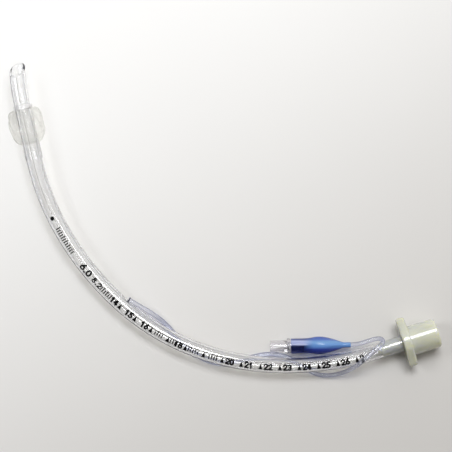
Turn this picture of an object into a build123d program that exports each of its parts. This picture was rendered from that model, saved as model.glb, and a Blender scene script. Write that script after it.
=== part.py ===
from build123d import *
import math
import os

os.makedirs("parts", exist_ok=True)

# Endotracheal tube lying on its side, all sizes in millimetres.
# X runs to the right of the picture, Y up the picture, Z up from the surface it lies on.

# Tube
tube_outer_diameter = 8.2
tube_bore_diameter = 6.0
tip_x = -107.9
tip_y = 80.6
tip_heading = -86.5
bevel_angle = 44.0
bevel_turn_to_left = 14.0
eye_length = 7.6
eye_width = 4.8
eye_from_tip = 9.6
inflation_channel_diameter = 0.7
inflation_channel_from_axis = 3.55
cuff_port_diameter = 1.0
channel_start_behind_cuff_front = 6.0
port_behind_channel_start = 2.0

# Centreline of the tube from the tip: straight at the tip, a slight bend, straight under the cuff,
# the long bend as arcs that each take a share of its length, and straight up to the connector
tip_run = 5.0
tip_bend_length = 17.0
tip_bend_turn = 9.0
cuff_run = 30.0
long_bend_length = 231.0
long_bend_shares = [0.173, 0.195, 0.195, 0.195, 0.242]
long_bend_turns = [17.6, 16.4, 21.0, 20.0, 20.2]
connector_run = 13.2

# Cuff
cuff_start_after_tip_bend = 0.7
cuff_rest_behind_front = 11.0
cuff_front_collar_length = 2.0
cuff_front_collar_wall = 0.6
cuff_rear_sleeve_wall = 0.3
cuff_rear_sleeve_end = 28.6
cuff_film_length = 18.3
cuff_widest_behind_film_start = 8.0
cuff_rear_shoulder_drop = 1.1
cuff_front_rounding = 3.4
cuff_belly_rounding = 30.0
cuff_rear_rounding = 3.2
cuff_film = 0.25
cuff_widest_radius = 8.95
bond_gap = 0.02

# Connector
flange_thickness = 4.4
flange_half_height = 8.2
flange_span = 26.0
wing_end_radius = 3.4
flange_edge_rounding = 1.0
cone_length = 14.6
cone_base_diameter = 15.47
cone_taper = 1.0 / 40.0
socket_bore_diameter = 12.6
socket_bore_depth = 13.0
spigot_length = 12.5
spigot_gap = 0.02
spigot_bore_diameter = 4.6
tube_end_gap = 0.3

# Inflation line
line_diameter = 2.3
line_floor_gap = 0.1
line_under_tube_gap = 0.35
line_over_tube_gap = 3.0
notch_from_tip = 141.7
notch_clearance = 0.05
notch_axis_from_tube_axis = 4.35
lowest_bend_from_tip = 170.0
crossing_from_tip = 274.7

# Pilot balloon and valve, measured along their own axis from the mouth of the syringe socket
mouth_from_tip = 225.6
mouth_beside_tube = 9.2
neck_end_from_tip = 268.5
neck_end_beside_tube = 6.9
barrel_radius = 3.0
barrel_length = 8.8
socket_mouth_radius = 2.15
socket_depth = 7.4
socket_taper = 0.06
collar_radius = 4.1
collar_thickness = 1.6
body_radius = 3.65
body_end = 18.8
chamber_radius = 2.6
seat_face = 9.2
seat_hole_radius = 1.0
stem_radius = 0.7
stem_start = 3.6
seal_thickness = 0.5
seal_radius = 1.9
seal_gap = 0.05
disc_radius = 2.0
disc_thickness = 0.9
pin_radius = 0.6
pin_end = 15.5
retainer_start = 15.1
retainer_thickness = 1.7
retainer_hole_radius = 0.85
vent_radius = 0.4
spring_wire_diameter = 0.3
spring_coil_radius = 1.25
spring_turns = 4
balloon_film = 0.3
balloon_sleeve_start = 11.0
balloon_sleeve_end = 19.1
balloon_widest_at = 25.1
balloon_widest_radius = 4.75
balloon_rounding = 10.0
balloon_neck_start = 37.9
balloon_neck_end = 41.9
balloon_neck_radius = 1.4

centreline_stretches = [(tip_run, 0.0), (tip_bend_length, tip_bend_turn), (cuff_run, 0.0)]
for bend_share, bend_turn in zip(long_bend_shares, long_bend_turns):
    centreline_stretches.append((long_bend_length * bend_share, bend_turn))
connector_flange_from_tip = tip_run + tip_bend_length + cuff_run + long_bend_length + connector_run
centreline_stretches.append((2 * connector_run, 0.0))

tube_radius = tube_outer_diameter / 2
cuff_from_tip = tip_run + tip_bend_length + cuff_start_after_tip_bend
bore_radius = tube_bore_diameter / 2
line_radius = line_diameter / 2


def flat_point(from_tip):
    """Place and heading on the centreline, in the flat plane that the tube is curved in."""
    x, y, heading = tip_x, tip_y, math.radians(tip_heading)
    left = from_tip
    for length, turn in centreline_stretches:
        step = min(left, length)
        bend = math.radians(turn) * step / length
        if abs(turn) < 1e-9:
            x += step * math.cos(heading)
            y += step * math.sin(heading)
        else:
            radius = length / math.radians(turn)
            x += radius * (math.sin(heading + bend) - math.sin(heading))
            y -= radius * (math.cos(heading + bend) - math.cos(heading))
        heading += bend
        left -= step
        if left <= 1e-9:
            break
    return x, y, heading


def flat_plane(from_tip):
    """Section plane: X to the inside of the bend, Y up, Z along the tube to the connector."""
    x, y, heading = flat_point(from_tip)
    side = (-math.sin(heading), math.cos(heading), 0)
    return Plane(origin=(x, y, 0), x_dir=side, z_dir=(math.cos(heading), math.sin(heading), 0))


def centreline(start, end):
    """Wire of straight runs and tangent arcs between two distances from the tip."""
    edges = []
    passed = 0.0
    for length, turn in centreline_stretches:
        first = max(start, passed)
        last = min(end, passed + length)
        if last - first > 1e-6:
            a = flat_point(first)
            b = flat_point(last)
            if abs(turn) < 1e-9:
                edges.append(Edge.make_line((a[0], a[1], 0), (b[0], b[1], 0)))
            else:
                m = flat_point((first + last) / 2)
                edges.append(Edge.make_three_point_arc((a[0], a[1], 0), (m[0], m[1], 0), (b[0], b[1], 0)))
        passed += length
    return Wire(edges)


def turned(profile_points):
    """Solid of revolution about Z from a list of (radius, height) corners."""
    outline = Polyline([(r, 0, z) for r, z in profile_points], close=True)
    return revolve(make_face(outline), Axis.Z)


def rounded_body(corners, radii):
    """Solid of revolution under a line through (radius, height) corners, rounded at the middle ones."""
    skin = FilletPolyline([(r, 0, z) for r, z in corners], radius=radii)
    first = corners[0]
    last = corners[-1]
    sides = Polyline([(last[0], 0, last[1]), (0, 0, last[1]), (0, 0, first[1]), (first[0], 0, first[1])])
    return revolve(make_face(Wire(list(skin.edges()) + list(sides.edges()))), Axis.Z)


# How the object rests: on the flange, on the cuff, and low in the bend over the inflation line
axis_height = flange_half_height
low_axis_height = tube_radius + line_diameter + line_floor_gap + line_under_tube_gap
cuff_middle = flat_point(cuff_from_tip + cuff_rest_behind_front)
flange_middle = flat_point(connector_flange_from_tip)
lowest_bend = flat_point(lowest_bend_from_tip)
chord = Vector(flange_middle[0] - cuff_middle[0], flange_middle[1] - cuff_middle[1], 0).normalized()
to_bend = Vector(lowest_bend[0] - cuff_middle[0], lowest_bend[1] - cuff_middle[1], 0)
bend_depth = abs(chord.cross(to_bend).Z)
lean = math.degrees(math.asin((axis_height - low_axis_height) / bend_depth))
rest = (
    Pos(cuff_middle[0], cuff_middle[1], axis_height)
    * Location((0, 0, 0), (chord.X, chord.Y, 0), lean)
    * Pos(-cuff_middle[0], -cuff_middle[1], 0)
)


def rested_point(from_tip, beside=0.0, above=0.0):
    """Point given from the tip, beside the axis and above it, once the tube lies at rest."""
    local = flat_plane(from_tip).from_local_coords(Vector(beside, above, 0))
    return (rest * Pos(local.X, local.Y, local.Z)).position


def floor_point(from_tip, beside, height):
    """Point beside the tube's axis at a height over the surface that the object lies on."""
    point = rested_point(from_tip, beside)
    return Vector(point.X, point.Y, height)


def make_tube():
    end = connector_flange_from_tip - tube_end_gap
    start = flat_plane(0)
    section = Circle(tube_radius) - Circle(bore_radius)
    body = sweep(start * section, path=centreline(0, end))
    # the bevel opens upwards and a little to the left, and its longest side is underneath
    turn = math.radians(bevel_turn_to_left)
    slope = math.radians(bevel_angle)
    length = tube_outer_diameter / math.tan(slope)
    up_left = Vector(-math.sin(turn), math.cos(turn), 0)
    normal = up_left * math.cos(slope) + Vector(0, 0, -math.sin(slope))
    cut = Plane(origin=(0, 0, length / 2), x_dir=(math.cos(turn), math.sin(turn), 0), z_dir=tuple(normal))
    waste = extrude(cut * Rectangle(5 * tube_outer_diameter, 5 * tube_outer_diameter), amount=2 * length)
    body -= start.location * waste
    # the eye is an oval hole through the wall under the bevel
    under = flat_plane(eye_from_tip)
    eye = Rot(90, 0, 0) * extrude(Ellipse(eye_width / 2, eye_length / 2), amount=3 * bore_radius)
    body -= under.location * eye
    # the channel in the wall feeds the cuff through a port, and ends in the notch
    channel_start = cuff_from_tip + channel_start_behind_cuff_front
    channel_plane = flat_plane(channel_start)
    channel_circle = Pos(inflation_channel_from_axis, 0) * Circle(inflation_channel_diameter / 2)
    body -= sweep(channel_plane * channel_circle, path=centreline(channel_start, notch_from_tip + 1.0))
    port_plane = flat_plane(channel_start + port_behind_channel_start)
    drill = Rot(0, 90, 0) * Cylinder(
        cuff_port_diameter / 2, tube_radius, align=(Align.CENTER, Align.CENTER, Align.MIN)
    )
    port = Pos(inflation_channel_from_axis, 0, 0) * drill
    body -= port_plane.location * port
    return rest * body


def make_notch_cutter():
    """Groove for the end of the inflation line, along its first straight run."""
    first, second = line_route[0], line_route[1]
    along = (second - first).normalized()
    plane = Plane(origin=first, z_dir=along)
    return extrude(plane * Circle(line_radius + notch_clearance), amount=12.0)


def make_cuff():
    plane = flat_plane(cuff_from_tip)
    inside = tube_radius + bond_gap
    front = cuff_front_collar_length
    wide = cuff_widest_radius
    rear = front + cuff_film_length
    foot = inside + cuff_film + 0.05
    widest = front + cuff_widest_behind_film_start
    shoulder = wide - cuff_rear_shoulder_drop
    outer = rounded_body([(foot, front), (wide - 0.5, front), (wide, widest), (shoulder, rear), (foot, rear)],
                         [cuff_front_rounding, cuff_belly_rounding, cuff_rear_rounding])
    film = cuff_film
    inner_corners = [(foot - film, front + film), (wide - 0.5 - film, front + film), (wide - film, widest),
                     (shoulder - film, rear - film), (foot - film, rear - film)]
    inner_radii = [cuff_front_rounding - film, cuff_belly_rounding - film, cuff_rear_rounding - film]
    inner = rounded_body(inner_corners, inner_radii)
    block = 6 * cuff_widest_radius
    over_cuff = Pos(cuff_middle[0], cuff_middle[1], 0)
    above_floor = over_cuff * Box(block, block, block, align=(Align.CENTER, Align.CENTER, Align.MIN))
    above_film = Pos(0, 0, film) * above_floor
    placed = rest * plane.location
    skin = (placed * outer & above_floor) - (placed * inner & above_film)
    collar = Pos(0, 0, front / 2) * Cylinder(inside + cuff_front_collar_wall, front + 0.2)
    collar = fillet(collar.edges().filter_by(GeomType.CIRCLE), 0.2)
    sleeve_start = rear - 0.3
    sleeve_length = cuff_rear_sleeve_end - sleeve_start
    sleeve = Pos(0, 0, sleeve_start) * Cylinder(
        inside + cuff_rear_sleeve_wall, sleeve_length, align=(Align.CENTER, Align.CENTER, Align.MIN)
    )
    hole = Pos(0, 0, rear) * Cylinder(inside, 4 * rear)
    hole_placed = placed * hole
    return skin + placed * collar + placed * sleeve - hole_placed


def make_connector():
    plane = flat_plane(connector_flange_from_tip)
    wing_at = flange_span / 2 - wing_end_radius
    outline = make_hull(
        (Circle(flange_half_height).edges())
        + (Pos(wing_at, 0) * Circle(wing_end_radius)).edges()
        + (Pos(-wing_at, 0) * Circle(wing_end_radius)).edges()
    )
    flange = extrude(outline, amount=flange_thickness)
    flange = fillet(flange.edges(), flange_edge_rounding)
    base = cone_base_diameter / 2
    end = base - cone_length * cone_taper / 2
    spigot = bore_radius - spigot_gap
    mouth = flange_thickness + cone_length
    bore = socket_bore_diameter / 2
    small = spigot_bore_diameter / 2
    throat = mouth - socket_bore_depth
    cone = turned([(0, flange_thickness - 0.5), (base, flange_thickness - 0.5), (base, flange_thickness),
                   (end + 0.02, mouth - 0.8), (end - 0.6, mouth), (0, mouth)])
    nose = turned([(0, -spigot_length), (spigot - 0.35, -spigot_length), (spigot, -spigot_length + 1.2),
                   (spigot, 0.5), (0, 0.5)])
    hollow = turned([(0, -spigot_length - 1), (small, -spigot_length - 1), (small, 1.0), (bore, throat),
                     (bore, mouth - 0.5), (bore + 0.4, mouth + 0.1), (0, mouth + 0.1)])
    return rest * plane.location * (flange + cone + nose - hollow)


def valve_plane():
    """Section plane at the mouth of the syringe socket, Z along the valve to the balloon."""
    mouth = floor_point(mouth_from_tip, mouth_beside_tube, collar_radius)
    neck = floor_point(neck_end_from_tip, neck_end_beside_tube, collar_radius)
    flat_direction = (neck - mouth).normalized()
    collar_at = barrel_length + collar_thickness / 2
    rise = (balloon_widest_radius - collar_radius) / (balloon_widest_at - collar_at)
    direction = (flat_direction + Vector(0, 0, rise)).normalized()
    start_height = collar_radius - rise * collar_at + 0.06
    side = Vector(-direction.Y, direction.X, 0).normalized()
    return Plane(origin=(mouth.X, mouth.Y, start_height), x_dir=side, z_dir=direction)


def make_valve_housing():
    depth_radius = socket_mouth_radius - socket_depth * socket_taper / 2
    collar_end = barrel_length + collar_thickness
    outside = turned([
        (0, 0), (barrel_radius - 0.25, 0), (barrel_radius, 0.25), (barrel_radius, barrel_length),
        (collar_radius - 0.3, barrel_length), (collar_radius, barrel_length + 0.3),
        (collar_radius, collar_end - 0.3), (collar_radius - 0.3, collar_end),
        (body_radius, collar_end), (body_radius, body_end - 0.3), (body_radius - 0.3, body_end), (0, body_end),
    ])
    socket = turned([
        (0, -0.1), (socket_mouth_radius, -0.1), (depth_radius, socket_depth), (0, socket_depth),
    ])
    seat = Pos(0, 0, (socket_depth + seat_face) / 2) * Cylinder(seat_hole_radius, seat_face - socket_depth + 0.4)
    chamber = turned([
        (0, seat_face), (chamber_radius, seat_face), (chamber_radius, body_end + 0.1), (0, body_end + 0.1),
    ])
    return outside - socket - seat - chamber


def make_valve_plunger():
    disc_start = seat_face + seal_gap + seal_thickness
    disc_end = disc_start + disc_thickness
    body = turned([
        (0, stem_start), (stem_radius - 0.2, stem_start), (stem_radius, stem_start + 0.2),
        (stem_radius, disc_start), (disc_radius, disc_start), (disc_radius, disc_end),
        (pin_radius, disc_end), (pin_radius, pin_end - 0.2), (pin_radius - 0.2, pin_end), (0, pin_end),
    ])
    # two flats let the air past the stem
    flat = Pos(0, 0, stem_start) * Box(0.45, 4, 4.6, align=(Align.MIN, Align.CENTER, Align.MIN))
    return body - Pos(0.45, 0, 0) * flat - Pos(-0.9, 0, 0) * flat


def make_valve_seal():
    start = seat_face + seal_gap
    inner = stem_radius + bond_gap
    return turned([
        (inner, start), (seal_radius - 0.12, start), (seal_radius, start + 0.12),
        (seal_radius, start + seal_thickness), (inner, start + seal_thickness),
    ])


def make_valve_spring():
    wire = spring_wire_diameter / 2
    disc_end = seat_face + seal_gap + seal_thickness + disc_thickness
    start = disc_end + wire + 0.02
    height = retainer_start - 0.02 - wire - start
    coil = Helix(pitch=height / spring_turns, height=height, radius=spring_coil_radius)
    section = Plane(origin=coil @ 0, z_dir=coil % 0) * Circle(wire)
    return Pos(0, 0, start) * sweep(section, path=coil)


def make_valve_retainer():
    ring = Pos(0, 0, retainer_start) * Cylinder(
        chamber_radius - bond_gap, retainer_thickness, align=(Align.CENTER, Align.CENTER, Align.MIN)
    )
    ring -= Pos(0, 0, retainer_start) * Cylinder(retainer_hole_radius, 3 * retainer_thickness)
    vent_at = (retainer_hole_radius + chamber_radius) / 2 + 0.05
    vent = Pos(0, 0, retainer_start) * Cylinder(vent_radius, 3 * retainer_thickness)
    for turn in (30, 150, 270):
        ring -= Rot(0, 0, turn) * (Pos(vent_at, 0, 0) * vent)
    return ring


def make_pilot_balloon():
    sleeve = body_radius + bond_gap + balloon_film
    wide = balloon_widest_radius
    film = balloon_film
    neck_bore = line_radius + bond_gap
    outer_corners = [(sleeve, balloon_sleeve_end), (wide + 0.05, balloon_widest_at - 2.2),
                     (wide - 0.1, balloon_widest_at + 2.4), (balloon_neck_radius, balloon_neck_start)]
    inner_corners = [(radius - film, height) for radius, height in outer_corners[:-1]]
    inner_corners.append((neck_bore - 0.1, balloon_neck_start - 2 * film))
    bulge = rounded_body(outer_corners, [balloon_rounding, balloon_rounding])
    hollow = rounded_body(inner_corners, [balloon_rounding - film, balloon_rounding - film])
    start = balloon_sleeve_start
    end = balloon_sleeve_end
    fit = body_radius + bond_gap
    cover = turned([(0, start), (sleeve, start), (sleeve, end), (0, end)])
    cover_hollow = turned([(0, start - 0.1), (fit, start - 0.1), (fit, end + 0.01), (0, end + 0.01)])
    neck_length = balloon_neck_end - balloon_neck_start + 0.3
    neck = Pos(0, 0, balloon_neck_start - 0.3) * Cylinder(
        balloon_neck_radius, neck_length, align=(Align.CENTER, Align.CENTER, Align.MIN)
    )
    bore = Pos(0, 0, balloon_neck_start - 2.0) * Cylinder(
        neck_bore, 12.0, align=(Align.CENTER, Align.CENTER, Align.MIN)
    )
    return cover + bulge + neck - cover_hollow - hollow - bore


valve_at = valve_plane()


def valve_point(along):
    return valve_at.from_local_coords(Vector(0, 0, along))


line_low = line_radius + line_floor_gap
line_high = rested_point(crossing_from_tip).Z + tube_radius + line_over_tube_gap + line_radius

# Route of the inflation line: out of the notch, down to the surface, under the tube to its outside,
# back under it to the inside, under it again, then over the tube and down into the neck of the balloon
line_route = [
    rested_point(notch_from_tip, notch_axis_from_tube_axis, 0.0),
    rested_point(notch_from_tip + 7.0, notch_axis_from_tube_axis + 1.0, -0.5),
    floor_point(157.5, 6.0, 3.3),
    floor_point(166.0, 5.0, line_low),
    floor_point(175.0, 1.5, line_low),
    floor_point(185.5, -3.0, line_low),
    floor_point(196.5, -4.9, line_low),
    floor_point(206.5, -2.5, line_low),
    floor_point(215.5, 2.6, line_low),
    floor_point(225.0, 5.4, line_low),
    floor_point(235.0, 4.3, line_low),
    floor_point(243.0, -1.0, line_low),
    floor_point(250.0, -6.8, line_low),
    floor_point(259.7, -8.0, 2.2),
    floor_point(268.7, -4.9, line_high - 5.4),
    floor_point(275.1, -0.8, line_high),
    floor_point(282.3, 2.6, line_high),
    floor_point(286.3, 4.1, line_high - 1.6),
    floor_point(286.5, 6.0, line_high - 3.8),
    floor_point(283.6, 6.8, line_high - 6.0),
    floor_point(278.8, 6.5, line_high - 8.0),
    valve_point(balloon_neck_end + 3.4),
    valve_point(balloon_neck_start + 0.3),
]


def make_pilot_line():
    radii = []
    for before, corner, after in zip(line_route, line_route[1:], line_route[2:]):
        run = min((corner - before).length, (after - corner).length)
        turn = (corner - before).get_angle(after - corner)
        radii.append(0.45 * run / math.tan(math.radians(turn / 2)))
        print("corner", len(radii), "run", round(run, 2), "turn", round(turn, 1), "radius", round(radii[-1], 1))
    path = FilletPolyline(line_route, radius=radii)
    plane = Plane(origin=line_route[0], z_dir=(line_route[1] - line_route[0]))
    line = sweep(plane * Circle(line_radius), path=path.wire())
    print("inflation line length", round(path.length, 2))
    print("volume over section times length", round(line.volume / (math.pi * line_radius ** 2 * path.length), 4))
    return line


tube = make_tube() - make_notch_cutter()
cuff = make_cuff()
connector = make_connector()
pilot_line = make_pilot_line()
valve = valve_at.location

pieces = {
    "tube": tube,
    "cuff": cuff,
    "connector": connector,
    "pilot_line": pilot_line,
    "pilot_balloon": valve * make_pilot_balloon(),
    "valve_housing": valve * make_valve_housing(),
    "valve_plunger": valve * make_valve_plunger(),
    "valve_seal": valve * make_valve_seal(),
    "valve_spring": valve * make_valve_spring(),
    "valve_retainer": valve * make_valve_retainer(),
}

for name, piece in pieces.items():
    solid = piece.solids()[0] if len(piece.solids()) == 1 else piece
    box = solid.bounding_box()
    print(name, "solids", len(piece.solids()), "volume", round(piece.volume, 2),
          "min", [round(v, 2) for v in box.min], "max", [round(v, 2) for v in box.max])
    export_step(solid, f"parts/{name}.step")

rest_box = Compound([tube.solids()[0], cuff.solids()[0], connector.solids()[0]]).bounding_box()
print("object without the line", [round(v, 2) for v in rest_box.min], [round(v, 2) for v in rest_box.max])
print("line route in metres", [tuple(round(v / 1000, 5) for v in point) for point in line_route])
print("valve axis", [round(v, 5) for v in valve_at.z_dir], "mouth", [round(v, 3) for v in valve_at.origin])
flange_at = rest * flat_plane(connector_flange_from_tip).location
socket_mouth = (flange_at * Pos(0, 0, flange_thickness + cone_length)).position
socket_inside = (flange_at * Pos(0, 0, flange_thickness + 3)).position
print("airway socket mouth", [round(v, 3) for v in socket_mouth], "axis",
      [round(v, 5) for v in (socket_mouth - socket_inside).normalized()])
print("tip axis points", [[round(v, 2) for v in rested_point(at)] for at in (0, 2, 4, 6, 8)])
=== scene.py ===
import math
import bpy
import bmesh
import numpy as np
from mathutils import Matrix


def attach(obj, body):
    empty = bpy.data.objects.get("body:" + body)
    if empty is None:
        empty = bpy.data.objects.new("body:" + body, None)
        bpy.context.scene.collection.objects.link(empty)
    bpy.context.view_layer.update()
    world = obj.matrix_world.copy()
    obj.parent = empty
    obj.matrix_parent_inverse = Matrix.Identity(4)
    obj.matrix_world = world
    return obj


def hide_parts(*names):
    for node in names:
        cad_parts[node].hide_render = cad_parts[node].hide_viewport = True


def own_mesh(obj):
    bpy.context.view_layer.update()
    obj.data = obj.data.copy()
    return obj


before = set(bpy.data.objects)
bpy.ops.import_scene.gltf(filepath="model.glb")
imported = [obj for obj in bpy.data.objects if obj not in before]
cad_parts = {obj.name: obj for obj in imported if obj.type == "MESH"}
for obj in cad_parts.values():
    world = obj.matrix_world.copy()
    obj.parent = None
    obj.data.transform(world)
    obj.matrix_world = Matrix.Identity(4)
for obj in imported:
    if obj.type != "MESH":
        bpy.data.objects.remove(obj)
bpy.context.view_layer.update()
scene = bpy.context.scene

# what the tube is and how it rests, in millimetres and degrees
tube = {
    "outer": 4.1, "bore": 3.0, "tip": (-107.9, 80.6), "heading": -86.5, "length": 295.9,
    "stretches": [(5.0, 0.0), (17.0, 9.0), (30.0, 0.0), (39.963, 17.6), (45.045, 16.4), (45.045, 21.0),
                  (45.045, 20.0), (55.902, 20.2), (26.4, 0.0)],
    "bevel": 44.0, "bevelToLeft": 14.0, "eyeAt": 9.6, "eyeLength": 7.6, "eyeWidth": 4.8, "eyeDepth": (-6.5, -1.2),
    "channel": 0.35, "channelAt": 3.55, "channelFrom": 28.7, "notchAt": 141.7, "notch": (1.2, 12.0),
    "flangeAt": 296.2, "restHeight": 8.2, "lowHeight": 6.85, "restMiddle": 33.7, "bendLowest": 170.0,
    "around": 150, "along": 300, "spigotFrom": 283.6, "spigotRadius": 2.92,
}


# shapes: every surface is worked out as whole arrays of points, in millimetres

def flatCentre(along):
    # place and heading on a chain of straight runs and arcs: each arc turns steadily over its length
    along = np.asarray(along, float)
    x = np.full(along.shape, tube["tip"][0])
    y = np.full(along.shape, tube["tip"][1])
    heading = np.full(along.shape, math.radians(tube["heading"]))
    start = 0.0
    for length, turn in tube["stretches"]:
        step = np.clip(along - start, 0, length)
        if start == 0.0:
            step = np.minimum(along, length)  # the first run also goes on ahead of the tip
        rate = math.radians(turn) / length
        if turn == 0.0:
            x = x + step * np.cos(heading)
            y = y + step * np.sin(heading)
        else:
            x = x + (np.sin(heading + rate * step) - np.sin(heading)) / rate
            y = y - (np.cos(heading + rate * step) - np.cos(heading)) / rate
        heading = heading + rate * step
        start += length
    return x, y, heading


def toRest(points):
    # turns the flat tube about the line from cuff to flange by a small angle, so that the bend lies low,
    # and lifts it: each point goes round that line by the angle's sine and cosine
    cuffX, cuffY, _ = flatCentre(tube["restMiddle"])
    flangeX, flangeY, _ = flatCentre(tube["flangeAt"])
    lowX, lowY, _ = flatCentre(tube["bendLowest"])
    axis = np.array([flangeX - cuffX, flangeY - cuffY, 0.0])
    axis /= np.linalg.norm(axis)
    depth = abs(axis[0] * (lowY - cuffY) - axis[1] * (lowX - cuffX))
    lean = math.asin((tube["restHeight"] - tube["lowHeight"]) / depth)
    p = points - np.array([cuffX, cuffY, 0.0])
    along = (p @ axis)[..., None] * axis
    turned = p * math.cos(lean) + np.cross(np.broadcast_to(axis, p.shape), p) * math.sin(lean) \
        + along * (1 - math.cos(lean))
    return turned + np.array([cuffX, cuffY, tube["restHeight"]])


def tubePoints(along, side, up):
    # a point so far along the tube, so far to the inside of its bend and so far above its axis
    x, y, heading = flatCentre(along)
    flat = np.stack([x - side * np.sin(heading), y + side * np.cos(heading),
                     up + np.zeros_like(x)], axis=-1)
    return toRest(flat)


def gridMesh(name, points, closedU=False, closedV=False, smooth=True, flip=False):
    # a grid of points becomes a mesh of four-sided faces, closed round either way if asked
    rows, cols = points.shape[:2]
    index = np.arange(rows * cols).reshape(rows, cols)
    if closedU:
        index = np.vstack([index, index[:1]])
    if closedV:
        index = np.hstack([index, index[:, :1]])
    faces = np.stack([index[:-1, :-1], index[1:, :-1], index[1:, 1:], index[:-1, 1:]], axis=-1).reshape(-1, 4)
    if flip:
        faces = faces[:, ::-1]
    mesh = bpy.data.meshes.new(name)
    mesh.from_pydata((points.reshape(-1, 3) * 0.001).tolist(), [], faces.tolist())
    mesh.polygons.foreach_set("use_smooth", np.full(len(mesh.polygons), smooth))
    mesh.update()
    piece = bpy.data.objects.new(name, mesh)
    scene.collection.objects.link(piece)
    return piece


def tidyMesh(piece, merge=0.000002, sharpAngle=35.0, recalc=True):
    # merges the poles, turns faces outward and marks edges sharper than an angle
    bm = bmesh.new()
    bm.from_mesh(piece.data)
    bmesh.ops.remove_doubles(bm, verts=bm.verts, dist=merge)
    bmesh.ops.dissolve_degenerate(bm, dist=merge * 0.5, edges=bm.edges)
    if recalc:
        bmesh.ops.recalc_face_normals(bm, faces=bm.faces)
    for edge in bm.edges:
        edge.smooth = len(edge.link_faces) == 2 and edge.calc_face_angle(0.0) < math.radians(sharpAngle)
    for face in bm.faces:
        face.smooth = True
    bm.to_mesh(piece.data)
    bm.free()


def joinMeshes(name, pieces):
    # several pieces become one object at the origin
    bm = bmesh.new()
    for piece in pieces:
        bm.from_mesh(piece.data)
    mesh = bpy.data.meshes.new(name)
    bm.to_mesh(mesh)
    bm.free()
    for piece in pieces:
        bpy.data.objects.remove(piece)
    joined = bpy.data.objects.new(name, mesh)
    scene.collection.objects.link(joined)
    return joined


def cutAway(piece, cutter):
    # takes the cutter's volume out of the piece
    change = piece.modifiers.new("cut", "BOOLEAN")
    change.operation = "DIFFERENCE"
    change.solver = "EXACT"
    change.object = cutter
    depsgraph = bpy.context.evaluated_depsgraph_get()
    cut = bpy.data.meshes.new_from_object(piece.evaluated_get(depsgraph))
    piece.modifiers.clear()
    piece.data = cut
    bpy.data.objects.remove(cutter)


def turnedPoints(profile, around, place, wave=None):
    # a profile of (radius, height) carried round an axis; wave adds to the radius by angle and height
    profile = np.asarray(profile, float)
    angle = np.linspace(0, 2 * np.pi, around, endpoint=False)[None, :]
    radius = profile[:, 0:1] + np.zeros_like(angle)
    height = profile[:, 1:2] + np.zeros_like(angle)
    if wave is not None:
        radius = radius + wave(angle, height, radius)
    return place(radius * np.cos(angle), radius * np.sin(angle), height)


def smoothCurve(corners, count):
    # a smooth line through a few (radius, height) corners, by a Catmull-Rom blend of four at a time
    corners = np.asarray(corners, float)
    padded = np.vstack([2 * corners[0] - corners[1], corners, 2 * corners[-1] - corners[-2]])
    t = np.linspace(0, len(corners) - 1 - 1e-9, count)
    i = t.astype(int)
    f = (t - i)[:, None]
    a, b, c, d = padded[i], padded[i + 1], padded[i + 2], padded[i + 3]
    return 0.5 * (2 * b + (c - a) * f + (2 * a - 5 * b + 4 * c - d) * f ** 2 + (3 * b - a - 3 * c + d) * f ** 3)


# materials

def newMaterial(name):
    # a material with the all-round shader that every one here starts from
    material = bpy.data.materials.new(name)
    material.use_nodes = True
    return material, material.node_tree, material.node_tree.nodes["Principled BSDF"]


def typeIn(node, values):
    # types values into a node's inputs, by name or number
    for key, value in values.items():
        node.inputs[key].default_value = value


def addNode(tree, kind, values=None, **settings):
    # a new node with its settings and with values in its inputs
    node = tree.nodes.new(kind)
    for key, value in settings.items():
        setattr(node, key, value)
    typeIn(node, values or {})
    return node


def joinNodes(tree, *pairs):
    # joins each output to the input beside it
    for output, socket in pairs:
        tree.links.new(output, socket)


def letShadowsThrough(tree, shader, share, tint=(1, 1, 1, 1), rimBlocks=0.0):
    # clear plastic throws a pale shadow with darker edges: shadow rays and light off the floor pass
    # mostly straight through where they meet the surface squarely, and less where they graze it
    path = addNode(tree, "ShaderNodeLightPath")
    either = addNode(tree, "ShaderNodeMath", operation="MAXIMUM")
    passed = addNode(tree, "ShaderNodeMapRange", {"To Min": share, "To Max": share - rimBlocks})
    amount = addNode(tree, "ShaderNodeMath", operation="MULTIPLY")
    clear = addNode(tree, "ShaderNodeBsdfTransparent", {"Color": tint})
    mix = addNode(tree, "ShaderNodeMixShader")
    joinNodes(tree,
              (path.outputs["Is Shadow Ray"], either.inputs[0]),
              (path.outputs["Is Diffuse Ray"], either.inputs[1]),
              (edgeShare(tree, 1.3), passed.inputs["Value"]),
              (either.outputs[0], amount.inputs[0]),
              (passed.outputs[0], amount.inputs[1]),
              (amount.outputs[0], mix.inputs[0]),
              (shader.outputs[0], mix.inputs[1]),
              (clear.outputs[0], mix.inputs[2]),
              (mix.outputs[0], tree.nodes["Material Output"].inputs["Surface"]))


def edgeShare(tree, power):
    # 0 where a surface faces the eye and 1 at its rim, raised to a power that holds it low until near the rim
    weight = addNode(tree, "ShaderNodeLayerWeight", {"Blend": 0.5})
    raised = addNode(tree, "ShaderNodeMath", {1: power}, operation="POWER")
    joinNodes(tree, (weight.outputs["Facing"], raised.inputs[0]))
    return raised.outputs[0]


def mixColours(tree, share, first, second, blend="MIX"):
    # blends two colours by a share; each of the three is a value or another node's output
    mix = addNode(tree, "ShaderNodeMix", data_type="RGBA", blend_type=blend)
    for number, given in ((0, share), (6, first), (7, second)):
        if isinstance(given, bpy.types.NodeSocket):
            joinNodes(tree, (given, mix.inputs[number]))
        else:
            typeIn(mix, {number: given})
    return mix.outputs[2]


def colourRamp(tree, stops):
    # a colour ramp with a stop at each given position
    ramp = addNode(tree, "ShaderNodeValToRGB")
    places = ramp.color_ramp.elements
    places[0].position, places[0].color = stops[0][0], stops[0][1][:3] + (1,)
    places[1].position, places[1].color = stops[-1][0], stops[-1][1][:3] + (1,)
    for position, colour in stops[1:-1]:
        places.new(position).color = colour[:3] + (1,)
    return ramp


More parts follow.
